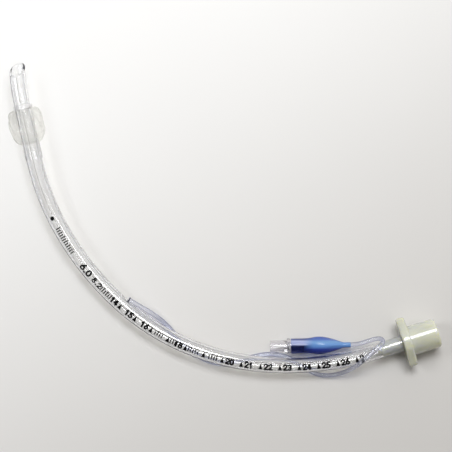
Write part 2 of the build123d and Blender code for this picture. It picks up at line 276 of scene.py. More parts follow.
def colourByNoise(tree, shader, low, high, scale):
    # slow cloudiness of the plastic between two close colours
    coords = addNode(tree, "ShaderNodeTexCoord")
    noise = addNode(tree, "ShaderNodeTexNoise", {"Scale": scale, "Detail": 3.0})
    ramp = colourRamp(tree, [(0.35, low), (0.65, high)])
    joinNodes(tree, (coords.outputs["Object"], noise.inputs["Vector"]), (noise.outputs[0], ramp.inputs[0]),
              (ramp.outputs[0], shader.inputs["Base Color"]))
    return coords, ramp


def fineBump(tree, shader, coords, scale, depth):
    # faint unevenness of a moulded or drawn surface
    noise = addNode(tree, "ShaderNodeTexNoise", {"Scale": scale, "Detail": 4.0})
    bump = addNode(tree, "ShaderNodeBump", {"Strength": 1.0, "Distance": depth})
    joinNodes(tree, (coords.outputs["Object"], noise.inputs["Vector"]), (noise.outputs[0], bump.inputs["Height"]),
              (bump.outputs[0], shader.inputs["Normal"]))


def weighBySide(tree, edge, paintedShadeSide):
    # painted shade: holds the rim's dark tint low on the side turned to the window and full on the side turned from it,
    # by the surface's direction dot the shaded side's
    shape = addNode(tree, "ShaderNodeNewGeometry")
    turned = addNode(tree, "ShaderNodeVectorMath", {1: paintedShadeSide}, operation="DOT_PRODUCT")
    share = addNode(tree, "ShaderNodeMapRange", {"From Min": -0.7, "From Max": 0.7, "To Min": 0.25})
    weighed = addNode(tree, "ShaderNodeMath", operation="MULTIPLY")
    joinNodes(tree, (shape.outputs["Normal"], turned.inputs[0]), (turned.outputs["Value"], share.inputs["Value"]),
              (share.outputs[0], weighed.inputs[0]), (edge, weighed.inputs[1]))
    return weighed.outputs[0]


def clearPlastic(name, low, high, rim, rimPower, roughness, ior, transmission, shadowShare, bumpDepth=0.00001,
                 coat=0.0, coatRoughness=0.06, specular=0.5, shadowTint=(1, 1, 1, 1), rimBlocks=0.5,
                 paintedShadeSide=None, paintedEdgeShade=0.0):
    # light goes through, a little less of it near the rim; the rim's colour is darkened with painted shade, which
    # stands in for the dark edges a clear wall shows, most on the side turned from the window
    material, tree, shader = newMaterial(name)
    coords, ramp = colourByNoise(tree, shader, low, high, 60.0)
    # the rim colour goes in where the surface turns from the eye: painted shade at the edges
    edge = edgeShare(tree, 1.0 if paintedEdgeShade > 0 else rimPower)
    if paintedShadeSide is not None:
        edge = weighBySide(tree, edge, paintedShadeSide)
    raised = addNode(tree, "ShaderNodeMath", {1: rimPower if paintedEdgeShade > 0 else 1.0}, operation="POWER")
    joinNodes(tree, (edge, raised.inputs[0]),
              (mixColours(tree, raised.outputs[0], ramp.outputs[0], rim), shader.inputs["Base Color"]))
    fineBump(tree, shader, coords, 900.0, bumpDepth)
    typeIn(shader, {"Roughness": roughness, "IOR": ior, "Transmission Weight": transmission, "Coat Weight": coat,
                    "Coat Roughness": coatRoughness, "Specular IOR Level": specular})
    if paintedEdgeShade > 0:
        # a thin painted dark outline, painted shade where the wall is seen edge on
        outline = addNode(tree, "ShaderNodeBsdfDiffuse", {"Color": rim})
        near = addNode(tree, "ShaderNodeMapRange", {"From Min": 0.42, "From Max": 0.85, "To Max": paintedEdgeShade},
                       interpolation_type="SMOOTHSTEP")
        lined = addNode(tree, "ShaderNodeMixShader")
        joinNodes(tree, (edge, near.inputs["Value"]), (near.outputs[0], lined.inputs[0]),
                  (shader.outputs[0], lined.inputs[1]), (outline.outputs[0], lined.inputs[2]))
        shader = lined
    letShadowsThrough(tree, shader, shadowShare, shadowTint, rimBlocks)
    return material


def thinFilm(name, low, high, rim, rimPower, tint, bodyShare, rimShare, roughness, shadowShare, bumpDepth,
             bumpScale=700.0, coat=1.0, specular=0.5, shadowTint=(1, 1, 1, 1), paintedShading=None):
    # a film too thin to bend light: mostly see-through where it faces the eye, denser towards its rim
    material, tree, shader = newMaterial(name)
    coords, ramp = colourByNoise(tree, shader, low, high, 90.0)
    # where given, painted shade and light across the piece are laid over its colour
    colour = ramp.outputs[0] if paintedShading is None else paintedShading(tree, ramp.outputs[0])
    edge = edgeShare(tree, rimPower)
    fineBump(tree, shader, coords, bumpScale, bumpDepth)
    typeIn(shader, {"Roughness": roughness, "Coat Weight": coat, "Coat Roughness": 0.035,
                    "Specular IOR Level": specular})
    clear = addNode(tree, "ShaderNodeBsdfTransparent", {"Color": tint})
    amount = addNode(tree, "ShaderNodeMapRange", {"To Min": bodyShare, "To Max": rimShare})
    mix = addNode(tree, "ShaderNodeMixShader")
    joinNodes(tree, (mixColours(tree, edge, colour, rim), shader.inputs["Base Color"]),
              (edge, amount.inputs["Value"]), (amount.outputs[0], mix.inputs[0]),
              (clear.outputs[0], mix.inputs[1]), (shader.outputs[0], mix.inputs[2]))
    letShadowsThrough(tree, mix, shadowShare, shadowTint)
    return material


def solidPlastic(name, low, high, roughness, bumpDepth=0.00002, subsurface=0.0, coat=0.0, coatRoughness=0.03,
                 specular=0.5):
    # a plastic that light doesn't pass, though some may soak in and come out beside where it fell
    material, tree, shader = newMaterial(name)
    coords, _ = colourByNoise(tree, shader, low, high, 80.0)
    fineBump(tree, shader, coords, 1400.0, bumpDepth)
    typeIn(shader, {"Roughness": roughness, "Subsurface Weight": subsurface, "Subsurface Scale": 1.0,
                    "Subsurface Radius": (0.006, 0.0055, 0.0025), "Coat Weight": coat,
                    "Coat Roughness": coatRoughness, "Specular IOR Level": specular})
    return material


def brightMetal(name, low, high, roughness):
    # drawn wire, a little cloudy
    material, tree, shader = newMaterial(name)
    colourByNoise(tree, shader, low, high, 400.0)
    typeIn(shader, {"Metallic": 1.0, "Roughness": roughness})
    return material


def setMaterial(piece, material):
    # one material for the whole piece
    piece.data.materials.clear()
    piece.data.materials.append(material)


# the balloon's colours from its lower to its upper side as seen, for the bulge and for the sleeve: painted shade makes
# the lower side navy, and painted light makes the bulge's upper side sky blue and the sleeve's lavender
balloonPaintedShade = {
    "low": -0.0715, "high": -0.0625, "sleeveEnds": 0.0410, "bulgeStarts": 0.0462, "share": 0.96,
    "bulge": [(0.10, (0.018, 0.024, 0.19)), (0.32, (0.03, 0.05, 0.30)), (0.48, (0.12, 0.27, 0.60)),
              (0.74, (0.20, 0.38, 0.66)), (0.90, (0.09, 0.16, 0.46))],
    "sleeve": [(0.06, (0.09, 0.11, 0.34)), (0.17, (0.007, 0.008, 0.07)), (0.50, (0.002, 0.003, 0.025)),
               (0.58, (0.20, 0.24, 0.46)), (0.76, (0.46, 0.52, 0.78)), (0.90, (0.02, 0.02, 0.10))],
}


def balloonSides(tree, colour):
    # painted shade and light across the balloon: the bulge runs from navy to sky blue and the sleeve from navy to
    # lavender, darkest on the lower side
    coords = addNode(tree, "ShaderNodeTexCoord")
    apart = addNode(tree, "ShaderNodeSeparateXYZ")
    across = addNode(tree, "ShaderNodeMapRange", {"From Min": balloonPaintedShade["low"], "From Max": balloonPaintedShade["high"]})
    toBulge = addNode(tree, "ShaderNodeMapRange", {"From Min": balloonPaintedShade["sleeveEnds"],
                                                   "From Max": balloonPaintedShade["bulgeStarts"]})
    bulge, sleeve = colourRamp(tree, balloonPaintedShade["bulge"]), colourRamp(tree, balloonPaintedShade["sleeve"])
    joinNodes(tree, (coords.outputs["Object"], apart.inputs[0]), (apart.outputs[1], across.inputs["Value"]),
              (apart.outputs[0], toBulge.inputs["Value"]), (across.outputs[0], bulge.inputs[0]),
              (across.outputs[0], sleeve.inputs[0]))
    both = mixColours(tree, toBulge.outputs[0], sleeve.outputs[0], bulge.outputs[0])
    return mixColours(tree, balloonPaintedShade["share"], colour, both)


# the clear plastics darken their rims with painted shade; the tube's is also weighted away from the window and outlined
clearTubePlastic = clearPlastic(
    "clearTubePlastic", low=(0.95, 0.955, 0.97, 1), high=(0.97, 0.975, 0.985, 1), rim=(0.03, 0.035, 0.12, 1),
    rimPower=2.6, roughness=0.05, ior=1.45, transmission=1.0, shadowShare=0.945, bumpDepth=0.000002,
    coat=0.8, coatRoughness=0.17, specular=0.22, shadowTint=(0.99, 0.985, 0.97, 1), rimBlocks=0.55,
    paintedShadeSide=(-0.75, -0.66, 0.0), paintedEdgeShade=0.7)
cuffSleevePlastic = clearPlastic(
    "cuffSleevePlastic", low=(0.97, 0.97, 0.97, 1), high=(0.985, 0.985, 0.98, 1), rim=(0.45, 0.44, 0.48, 1),
    rimPower=4.0, roughness=0.05, ior=1.2, transmission=1.0, shadowShare=0.985, bumpDepth=0.000002, rimBlocks=0.1)
cuffCollarPlastic = clearPlastic(
    "cuffCollarPlastic", low=(0.95, 0.95, 0.96, 1), high=(0.975, 0.975, 0.98, 1), rim=(0.15, 0.15, 0.22, 1),
    rimPower=2.5, roughness=0.08, ior=1.35, transmission=0.72, shadowShare=0.95, coat=0.8, rimBlocks=0.3)
cuffFilmPlastic = thinFilm(
    "cuffFilmPlastic", low=(0.34, 0.34, 0.31, 1), high=(0.72, 0.72, 0.68, 1), rim=(0.46, 0.45, 0.40, 1),
    rimPower=1.8, tint=(0.985, 0.985, 0.975, 1), bodyShare=0.09, rimShare=0.42, roughness=0.18,
    shadowShare=0.95, bumpDepth=0.0005, bumpScale=330.0)
lineTintedPlastic = clearPlastic(
    "lineTintedPlastic", low=(0.81, 0.83, 0.92, 1), high=(0.88, 0.895, 0.955, 1), rim=(0.02, 0.045, 0.26, 1),
    rimPower=1.0, roughness=0.10, ior=1.22, transmission=0.9, shadowShare=0.75, coat=0.6,
    shadowTint=(0.85, 0.87, 0.95, 1))
# the balloon's film carries painted shade on its lower side and painted light on its upper side
balloonFilmPlastic = thinFilm(
    "balloonFilmPlastic", low=(0.05, 0.11, 0.42, 1), high=(0.10, 0.19, 0.58, 1), rim=(0.03, 0.045, 0.28, 1),
    rimPower=2.2, tint=(0.42, 0.56, 0.90, 1), bodyShare=0.88, rimShare=0.98, roughness=0.18, shadowShare=0.5,
    bumpDepth=0.00004, coat=0.6, specular=0.04, shadowTint=(0.55, 0.62, 0.92, 1), paintedShading=balloonSides)
valveClearPlastic = clearPlastic(
    "valveClearPlastic", low=(0.93, 0.92, 0.95, 1), high=(0.96, 0.955, 0.97, 1), rim=(0.12, 0.09, 0.16, 1),
    rimPower=2.4, roughness=0.04, ior=1.45, transmission=1.0, shadowShare=0.92)
connectorCream = solidPlastic("connectorCream", low=(0.54, 0.555, 0.475, 1), high=(0.60, 0.615, 0.535, 1),
                              roughness=0.20, bumpDepth=0.00001, subsurface=0.8, coat=0.7, coatRoughness=0.07)
plungerWhite = solidPlastic("plungerWhite", (0.74, 0.74, 0.76, 1), (0.82, 0.82, 0.83, 1), 0.35)
sealRubber = solidPlastic("sealRubber", (0.012, 0.014, 0.03, 1), (0.03, 0.032, 0.05, 1), 0.55)
retainerBlue = solidPlastic("retainerBlue", (0.012, 0.018, 0.10, 1), (0.025, 0.035, 0.16, 1), 0.4)
fineLineInk = solidPlastic("fineLineInk", (0.025, 0.018, 0.014, 1), (0.05, 0.038, 0.03, 1), 0.7)
# dark blue-grey of the ring where the line enters the tube: painted shade of the gap there
gapShadeColour = solidPlastic("gapShadeColour", (0.02, 0.022, 0.05, 1), (0.04, 0.045, 0.08, 1), 0.4)
printInk = solidPlastic("printInk", (0.0015, 0.0015, 0.002, 1), (0.004, 0.004, 0.005, 1), 0.8, specular=0.08)
springSteel = brightMetal("springSteel", (0.45, 0.45, 0.47, 1), (0.62, 0.62, 0.64, 1), 0.3)
print("materials made")

# camera straight above, as far away as such a picture is taken from
camera = {"height": 0.707, "centre": (0.00078, -0.00453), "acrossAtObject": 0.2354, "from": 0.7, "sensor": 36.0}
cameraData = bpy.data.cameras.new("camera")
cameraData.sensor_width = camera["sensor"]
cameraData.lens = camera["sensor"] * camera["from"] / camera["acrossAtObject"]
cameraData.clip_start = 0.01
cameraObject = bpy.data.objects.new("camera", cameraData)
cameraObject.location = (camera["centre"][0], camera["centre"][1], camera["height"])
scene.collection.objects.link(cameraObject)
scene.camera = cameraObject

# inflation line, along the route of its solid
line = {
    "diameter": 0.0023, "length": 0.1831,
    "route": [
        (-0.05011, -0.0427, 0.007), (-0.04429, -0.04621, 0.0065), (-0.03713, -0.05063, 0.0033),
        (-0.03077, -0.05577, 0.00125), (-0.02466, -0.06296, 0.00125), (-0.01675, -0.07127, 0.00125),
        (-0.00661, -0.07667, 0.00125), (0.00395, -0.07681, 0.00125), (0.01367, -0.0733, 0.00125),
        (0.0231, -0.0714, 0.00125), (0.03274, -0.07275, 0.00125), (0.04082, -0.0778, 0.00125),
        (0.04843, -0.08301, 0.00125), (0.05865, -0.08287, 0.0022), (0.06726, -0.07806, 0.01068),
        (0.07261, -0.07254, 0.01608), (0.07854, -0.06728, 0.01608), (0.08189, -0.06464, 0.01448),
        (0.0815, -0.06277, 0.01228), (0.07849, -0.06289, 0.01008), (0.07416, -0.06453, 0.00808),
        (0.06913, -0.06646, 0.00566), (0.06204, -0.06665, 0.00536),
    ],
}


def makeLine():
    # one open NURBS spline with the route's points as its control points, given a round section
    curve = bpy.data.curves.new("inflationLine", "CURVE")
    curve.dimensions = "3D"
    spline = curve.splines.new("NURBS")
    spline.points.add(len(line["route"]) - 1)
    weights = np.column_stack([np.array(line["route"]), np.ones(len(line["route"]))])
    spline.points.foreach_set("co", weights.ravel())
    spline.order_u = 3
    spline.use_endpoint_u = True
    spline.resolution_u = 10
    curve.bevel_depth = line["diameter"] / 2
    curve.bevel_resolution = 6
    curve.use_fill_caps = True
    piece = bpy.data.objects.new("inflationLine", curve)
    scene.collection.objects.link(piece)
    setMaterial(piece, lineTintedPlastic)
    return piece


# tube wall

def makeTubeWall():
    # a closed section carried along the centreline: out along the outside, round the end, back along
    # the bore and round the rim of the bevel; near the tip each line starts where the bevel cuts it
    angle = np.linspace(0, 2 * np.pi, tube["around"], endpoint=False)[None, :]
    outer, bore = tube["outer"], tube["bore"]
    middle, half = (outer + bore) / 2, (outer - bore) / 2
    share = np.linspace(0, 1, tube["along"])[:, None] ** 1.25  # closer together near the tip
    lip = np.linspace(0, np.pi, 7)[1:-1, None]
    slope = 1 / math.tan(math.radians(tube["bevel"]))
    turn = math.radians(tube["bevelToLeft"])
    cutMiddle = tube["outer"] * slope
    lipDepth = half * 0.55  # how far the bevel's rim is rounded

    def cutAt(radius):
        # how far from the tip a slanting plane cuts each line of the wall
        return cutMiddle + slope * radius * (math.cos(turn) * np.sin(angle) - math.sin(turn) * np.cos(angle))

    outerStart, boreStart = cutAt(outer) + lipDepth * 0.2, cutAt(bore) + lipDepth * 0.2
    end = tube["length"]
    outerAlong = outerStart + share * (end - outerStart)
    boreAlong = boreStart + share * (end - boreStart)
    endRadius = middle + half * np.cos(lip) + np.zeros_like(angle)
    endAlong = end - 0.05 + np.zeros_like(endRadius)  # a hair behind the edge, which leaves it rounded
    rimRadius = middle - half * np.cos(lip) + np.zeros_like(angle)
    rimAlong = cutAt(rimRadius) - lipDepth * (np.sin(lip) - 0.2)
    along = np.vstack([outerAlong, endAlong, boreAlong[::-1], rimAlong])
    radius = np.vstack([np.full_like(outerAlong, outer), endRadius, np.full_like(boreAlong, bore), rimRadius])
    # near the end the bore draws in to the connector's spigot, which it grips without a gap
    grip = np.clip((along - tube["spigotFrom"]) / 0.8, 0, 1) * (radius < bore + 0.01)
    radius = radius - grip * (bore - tube["spigotRadius"])
    points = tubePoints(along, radius * np.cos(angle), radius * np.sin(angle))
    piece = gridMesh("tubeWall", points, closedU=True, closedV=True)
    tidyMesh(piece)

    # oval eye through the underside
    across = np.linspace(0, 2 * np.pi, 48, endpoint=False)[None, :]
    depth = np.array(tube["eyeDepth"])[:, None]
    x, y, heading = flatCentre(tube["eyeAt"] + 0 * across)
    side = tube["eyeWidth"] / 2 * np.cos(across)
    ahead = tube["eyeLength"] / 2 * np.sin(across)
    ring = np.stack([x - side * np.sin(heading) + ahead * np.cos(heading) + 0 * depth,
                     y + side * np.cos(heading) + ahead * np.sin(heading) + 0 * depth,
                     depth + 0 * across], axis=-1)
    cutAway(piece, closedCutter("eyeCutter", toRest(ring)))

    # groove for the end of the line
    route = np.array(line["route"]) * 1000
    cutAway(piece, rodCutter("notchCutter", route[0], route[1], *tube["notch"]))
    tidyMesh(piece, recalc=False)

    # air channel inside the wall: a thin closed hollow, its faces turned to its own middle
    turnRound = np.linspace(0, 2 * np.pi, 12, endpoint=False)[None, :]
    run = np.linspace(tube["channelFrom"], tube["notchAt"] - 0.4, 170)
    reach = np.full_like(run, tube["channel"])
    reach[[0, -1]] = 0.001  # drawn in to a point at both ends
    hollow = tubePoints(run[:, None] + 0 * turnRound, tube["channelAt"] + reach[:, None] * np.cos(turnRound),
                        reach[:, None] * np.sin(turnRound))
    channel = gridMesh("airChannel", hollow, closedV=True)
    tidyMesh(channel)
    channel.data.flip_normals()
    return joinMeshes("tubeWall", [piece, channel])


def closedCutter(name, ring):
    # two rings of points joined by a wall, each closed by its middle
    middles = ring.mean(axis=1, keepdims=True) + np.zeros_like(ring)
    piece = gridMesh(name, np.concatenate([middles[:1], ring, middles[1:]]), closedV=True)
    tidyMesh(piece)
    return piece


def directions(start, toward):
    # along from one point to another, sideways to that and level, and square to both
    along = (toward - start) / np.linalg.norm(toward - start)
    side = np.cross(along, [0, 0, 1.0])
    side /= np.linalg.norm(side)
    return along, side, np.cross(side, along)


def rodCutter(name, start, toward, radius, length):
    # a round rod from a point towards another
    along, side, up = directions(start, toward)
    angle = np.linspace(0, 2 * np.pi, 40, endpoint=False)[None, :, None]
    reach = np.array([0.0, length])[:, None, None]
    ring = start + reach * along + radius * (np.cos(angle) * side + np.sin(angle) * up)
    return closedCutter(name, ring)


# a dark ring where the line enters the tube, painted shade standing in for the shadow in the gap there
gapShadeShape = {"radius": 1.2, "thick": 0.24, "long": 0.34, "at": 0.55, "around": 64, "section": 14}


def makeJointRing():
    # a small oval carried round the line's end
    route = np.array(line["route"][:2]) * 1000
    along, side, up = directions(route[0], route[1])
    turn = np.linspace(0, 2 * np.pi, gapShadeShape["around"], endpoint=False)[:, None, None]
    section = np.linspace(0, 2 * np.pi, gapShadeShape["section"], endpoint=False)[None, :, None]
    radius = gapShadeShape["radius"] + gapShadeShape["thick"] * np.cos(section)
    ahead = gapShadeShape["at"] + gapShadeShape["long"] * np.sin(section)
    points = route[0] + along * ahead + radius * (np.cos(turn) * side + np.sin(turn) * up)
    piece = gridMesh("gapShadeRing", points, closedU=True, closedV=True)
    tidyMesh(piece)
    return piece


linePiece = makeLine()
gapShadeRing = makeJointRing()
setMaterial(gapShadeRing, gapShadeColour)
tubeWall = makeTubeWall()
setMaterial(tubeWall, clearTubePlastic)
print("tube and line made")

# cuff
cuff = {
    "from": 22.7, "gap": 0.02,
    "skin": [(4.4, 2.0), (6.2, 2.05), (7.9, 3.3), (8.7, 6.0), (8.88, 10.0), (8.5, 14.5), (7.6, 17.6),
             (5.9, 19.6), (4.45, 20.4)],
    "collar": [(0, 0), (0.45, 0), (0.6, 0.15), (0.6, 1.85), (0.45, 2.1), (0, 2.1)],
    "sleeve": [(0, 20.2), (0.3, 20.2), (0.3, 28.4), (0.2, 28.6), (0, 28.6)],
    "folds": 8, "foldDepth": 0.85, "floor": 0.12, "around": 160, "along": 90,
}


def cuffPlace(side, up, height):
    # points round the straight run of the tube under the cuff
    return tubePoints(cuff["from"] + height, side, up)


def cuffWave(angle, height, radius):
    # folds: ridges with sharp valleys that wander round the cuff as they run along it, crossed by a few
    # slanting creases, all fading where the film is bonded
    reach = np.clip((radius - 4.4) / 3.0, 0, 1)
    wander = 0.9 * np.sin(height * 0.34 + 0.6) + 0.35 * np.sin(height * 0.9)
    ridges = np.abs(np.sin(cuff["folds"] / 2 * angle + wander)) ** 0.7 - 0.62
    smaller = np.abs(np.sin(5.5 * angle - height * 0.30 + 1.1)) ** 0.8 - 0.6
    creases = -np.maximum(0, np.sin(3 * angle + height * 0.75 + 1.2) - 0.55) * 1.3
    across = -np.maximum(0, np.cos(height * 1.1 + 1.4 * np.sin(2 * angle)) - 0.7) * 1.1
    return cuff["foldDepth"] * reach * (ridges + 0.45 * smaller + 0.6 * creases + 0.5 * across)


def makeCuffFilm():
    # the film's profile carried round the tube with folds, pressed flat where it meets the surface
    profile = smoothCurve(cuff["skin"], cuff["along"])
    points = turnedPoints(profile, cuff["around"], cuffPlace, cuffWave)
    height, low = points[..., 2], cuff["floor"]
    points[..., 2] = np.where(height < low, low + 0.02 * (height - low), height)
    piece = gridMesh("cuffFilm", points, closedV=True)
    tidyMesh(piece, sharpAngle=180.0, recalc=False)
    return piece


def makeCuffBand(name, band):
    # a closed profile, measured from the outside of the tube, carried round it
    profile = np.array(band) + [tube["outer"] + cuff["gap"], 0]
    piece = gridMesh(name, turnedPoints(profile, 96, cuffPlace), closedU=True, closedV=True)
    tidyMesh(piece)
    return piece


cuffFilm = makeCuffFilm()
cuffCollar = makeCuffBand("cuffCollar", cuff["collar"])
cuffSleeve = makeCuffBand("cuffSleeve", cuff["sleeve"])
setMaterial(cuffFilm, cuffFilmPlastic)
setMaterial(cuffCollar, cuffCollarPlastic)
setMaterial(cuffSleeve, cuffSleevePlastic)
print("cuff made")

# pilot balloon: a film sleeve on the valve, a bulge and a neck on the line
balloon = {
    "mouth": (23.882, -67.641, 3.757), "axis": (0.99878, 0.02598, 0.0419),
    "skin": [(3.80, 11.0), (3.97, 11.05), (3.99, 13.0), (3.97, 17.0), (4.02, 19.4), (4.32, 21.6), (4.62, 23.6),
             (4.74, 25.4), (4.62, 27.3), (4.22, 29.6), (3.62, 31.8), (2.9, 34.0), (2.2, 36.0), (1.62, 37.6),
             (1.42, 38.6), (1.4, 40.4), (1.4, 41.85), (1.2, 41.9)],
    "around": 120, "along": 190, "creases": 0.16,
}


def valvePlace(side, up, height):
    # points round the valve's own axis, from the mouth of its socket
    axis = np.array(balloon["axis"])
    across = np.array([-axis[1], axis[0], 0.0])
    across /= np.linalg.norm(across)
    over = np.cross(axis, across)
    return np.array(balloon["mouth"]) + side[..., None] * across + up[..., None] * over + height[..., None] * axis


def balloonWave(angle, height, radius):
    # creases that run lengthwise where the film draws in to the neck and to the sleeve
    toNeck = np.clip((height - 26.5) / 6.0, 0, 1) * np.clip((38.2 - height) / 3.0, 0, 1)
    toSleeve = np.clip((height - 19.0) / 1.5, 0, 1) * np.clip((23.6 - height) / 2.5, 0, 1)
    lengthwise = np.sin(7 * angle + 0.4 * np.sin(height * 0.6)) * 0.7 + np.sin(11 * angle + 1.0) * 0.35
    return -balloon["creases"] * (toNeck * (0.6 + lengthwise) + toSleeve * (0.4 + 0.5 * np.sin(9 * angle)))


def makeBalloon():
    # the balloon's profile carried round the valve's axis
    profile = smoothCurve(balloon["skin"], balloon["along"])
    piece = gridMesh("balloonFilm", turnedPoints(profile, balloon["around"], valvePlace, balloonWave), closedV=True)
    tidyMesh(piece, sharpAngle=60.0, recalc=False)
    return piece


balloonFilm = makeBalloon()
setMaterial(balloonFilm, balloonFilmPlastic)
print("balloon made")

# spring behind the plunger's disc; its far end rests on the vented ring
coil = {"from": 10.82, "height": 4.11, "radius": 1.25, "wire": 0.15, "turns": 4, "travel": 1.2,
        "perTurn": 48, "around": 14}


def makeSpring():
    # a small circle, square to the helix, carried along it round the valve's axis and drawn in at both ends
    along = np.linspace(0, 1, coil["turns"] * coil["perTurn"] + 1)[:, None]
    turn = 2 * np.pi * coil["turns"] * along
    climb = coil["height"] / (2 * np.pi * coil["turns"])
    slant = math.hypot(coil["radius"], climb)
    section = np.linspace(0, 2 * np.pi, coil["around"], endpoint=False)[None, :]
    wire = np.full_like(along, coil["wire"])
    wire[[0, -1]] = 0.0005  # its closed ends
    out = coil["radius"] + wire * np.cos(section)
    lift = wire * np.sin(section)
    side = out * np.cos(turn) + lift * np.sin(turn) * climb / slant
    up = out * np.sin(turn) - lift * np.cos(turn) * climb / slant
    height = coil["from"] + coil["height"] * along + lift * coil["radius"] / slant
    piece = gridMesh("valveSpring", valvePlace(side, up, height), closedV=True)
    tidyMesh(piece)
    return piece


valveSpring = makeSpring()
setMaterial(valveSpring, springSteel)
print("spring made")

# depth marks and sizes, printed on the upper side
marks = {
    "turn": 101.0, "height": 2.85, "width": 1.6, "stroke": 0.94, "gap": 0.72, "lift": 0.03,
    "before": [14, 15, 16, 18], "alone": [17, 19], "after": [20, 21, 22, 23, 24, 25, 26], "last": 27,
    "sizes": [("6.0", 112.0, 3.1, 2.1, 0.98), ("8.2", 121.2, 2.4, 1.7, 0.68)],
    "finePrint": [(89.5, 105.0), (127.6, 134.6), (163.6, 168.4), (172.6, 175.4), (182.6, 188.4), (194.0, 198.0)],
    "tickStep": 1.3, "tickStroke": 0.6, "dotAt": (83.6, -0.2), "dotRadius": 1.1,
}


def arcPoints(cx, cy, rx, ry, start, stop, count=14):
    # points on an oval about a middle, from one angle to another
    angle = np.radians(np.linspace(start, stop, count))
    return np.column_stack([cx + rx * np.cos(angle), cy + ry * np.sin(angle)])


# each figure as strokes in a box one wide and one high
figureStrokes = {
    "0": [arcPoints(0.5, 0.5, 0.5, 0.5, 90, 450, 28)],
    "1": [np.array([(0.2, 0.72), (0.55, 1.0), (0.55, 0.0)])],
    "2": [np.vstack([arcPoints(0.5, 0.72, 0.45, 0.28, 170, -30), [(0.0, 0.0), (1.0, 0.0)]])],
    "3": [np.vstack([arcPoints(0.45, 0.76, 0.42, 0.24, 150, -80)]), arcPoints(0.45, 0.26, 0.5, 0.26, 85, -150)],
    "4": [np.array([(0.72, 0.0), (0.72, 1.0), (0.0, 0.3), (1.0, 0.3)])],
    "5": [np.vstack([[(0.9, 1.0), (0.15, 1.0), (0.1, 0.55)], arcPoints(0.45, 0.3, 0.5, 0.3, 110, -150)])],
    "6": [np.vstack([[(0.75, 1.0)], arcPoints(0.5, 0.3, 0.48, 0.3, 150, 510, 24)])],
    "7": [np.array([(0.0, 1.0), (1.0, 1.0), (0.4, 0.0)])],
    "8": [arcPoints(0.5, 0.76, 0.38, 0.24, 90, 450, 22), arcPoints(0.5, 0.27, 0.48, 0.27, 90, 450, 24)],
    "9": [np.vstack([arcPoints(0.5, 0.7, 0.48, 0.3, -30, 330, 24), [(0.25, 0.0)]])],
    ".": [np.array([(0.35, 0.02), (0.65, 0.02)])],
}


def printPoints(along, across):
    # along the tube from the tip and up the printed face, just proud of the wall
    radius = tube["outer"] + marks["lift"]
    angle = np.radians(marks["turn"]) - across / radius
    return tubePoints(along, radius * np.cos(angle), radius * np.sin(angle))


# thin line in the wall, from behind the bevel to the connector
wallLine = {"from": 8.5, "to": 283.0, "turn": 92.0, "drift": 22.0, "driftFrom": 140.0, "driftOver": 85.0,
            "wide": 0.16, "wider": 0.18, "widerFrom": 90.0, "widerOver": 60.0, "lift": 0.012, "along": 420}


def makeFineLine():
    # a narrow strip carried along the tube; it drifts to the inside of the bend and widens
    along = np.linspace(wallLine["from"], wallLine["to"], wallLine["along"])[:, None]
    drift = np.clip((along - wallLine["driftFrom"]) / wallLine["driftOver"], 0, 1)
    turn = np.radians(wallLine["turn"] - wallLine["drift"] * drift)
    wide = wallLine["wide"] + wallLine["wider"] * np.clip((along - wallLine["widerFrom"]) / wallLine["widerOver"], 0, 1)
    radius = tube["outer"] + wallLine["lift"]
    angle = turn + np.linspace(-0.5, 0.5, 3)[None, :] * wide / radius
    points = tubePoints(along + 0 * angle, radius * np.cos(angle), radius * np.sin(angle))
    piece = gridMesh("fineLine", points)
    tidyMesh(piece, sharpAngle=180.0, recalc=False)
    return piece


def strokeMesh(path, start, size, stroke):
    # a flat stroke: each point of a resampled path is pushed to both sides by half the stroke
    path = np.asarray(path) * np.array(size)
    lengths = np.concatenate([[0], np.cumsum(np.linalg.norm(np.diff(path, axis=0), axis=1))])
    count = max(4, int(lengths[-1] / 0.16))
    t = np.linspace(0, lengths[-1], count)
    points = np.column_stack([np.interp(t, lengths, path[:, 0]), np.interp(t, lengths, path[:, 1])])
    ahead = np.gradient(points, axis=0)
    ahead /= np.linalg.norm(ahead, axis=1)[:, None] + 1e-9
    normal = np.column_stack([-ahead[:, 1], ahead[:, 0]])
    points[0] -= ahead[0] * stroke / 2
    points[-1] += ahead[-1] * stroke / 2
    sides = np.linspace(-0.5, 0.5, 4)[None, :, None] * stroke
    grid = points[:, None, :] + normal[:, None, :] * sides
    grid[..., 0] += start[0]
    grid[..., 1] += start[1]
    return gridMesh("stroke", printPoints(grid[..., 0], grid[..., 1]), flip=True)


def filledMesh(corners, start, rows=7):
    # a triangle filled by rows between its foot and its point
    (x0, y0), (x1, _), (x2, y2) = corners
    t = np.linspace(0, 1, rows)[:, None]
    u = np.linspace(0, 1, 6)[None, :]
    left = x0 + (x2 - x0) * t
    right = x1 + (x2 - x1) * t
    x = left + (right - left) * u * 0.999 + start[0]
    y = y0 + (y2 - y0) * t + 0 * u + start[1]
    return gridMesh("filled", printPoints(x, y), flip=True)


def writeNumber(text, start, height, width, stroke):
    # figures side by side along the tube; a point takes less room
    strokes = []
    along = start
    for figure in text:
        step = width * (0.45 if figure == "." else 1.0)
        for path in figureStrokes[figure]:
            strokes.append(strokeMesh(path, (along, -height / 2), (step, height), stroke))
        along += step + marks["gap"]
    return strokes


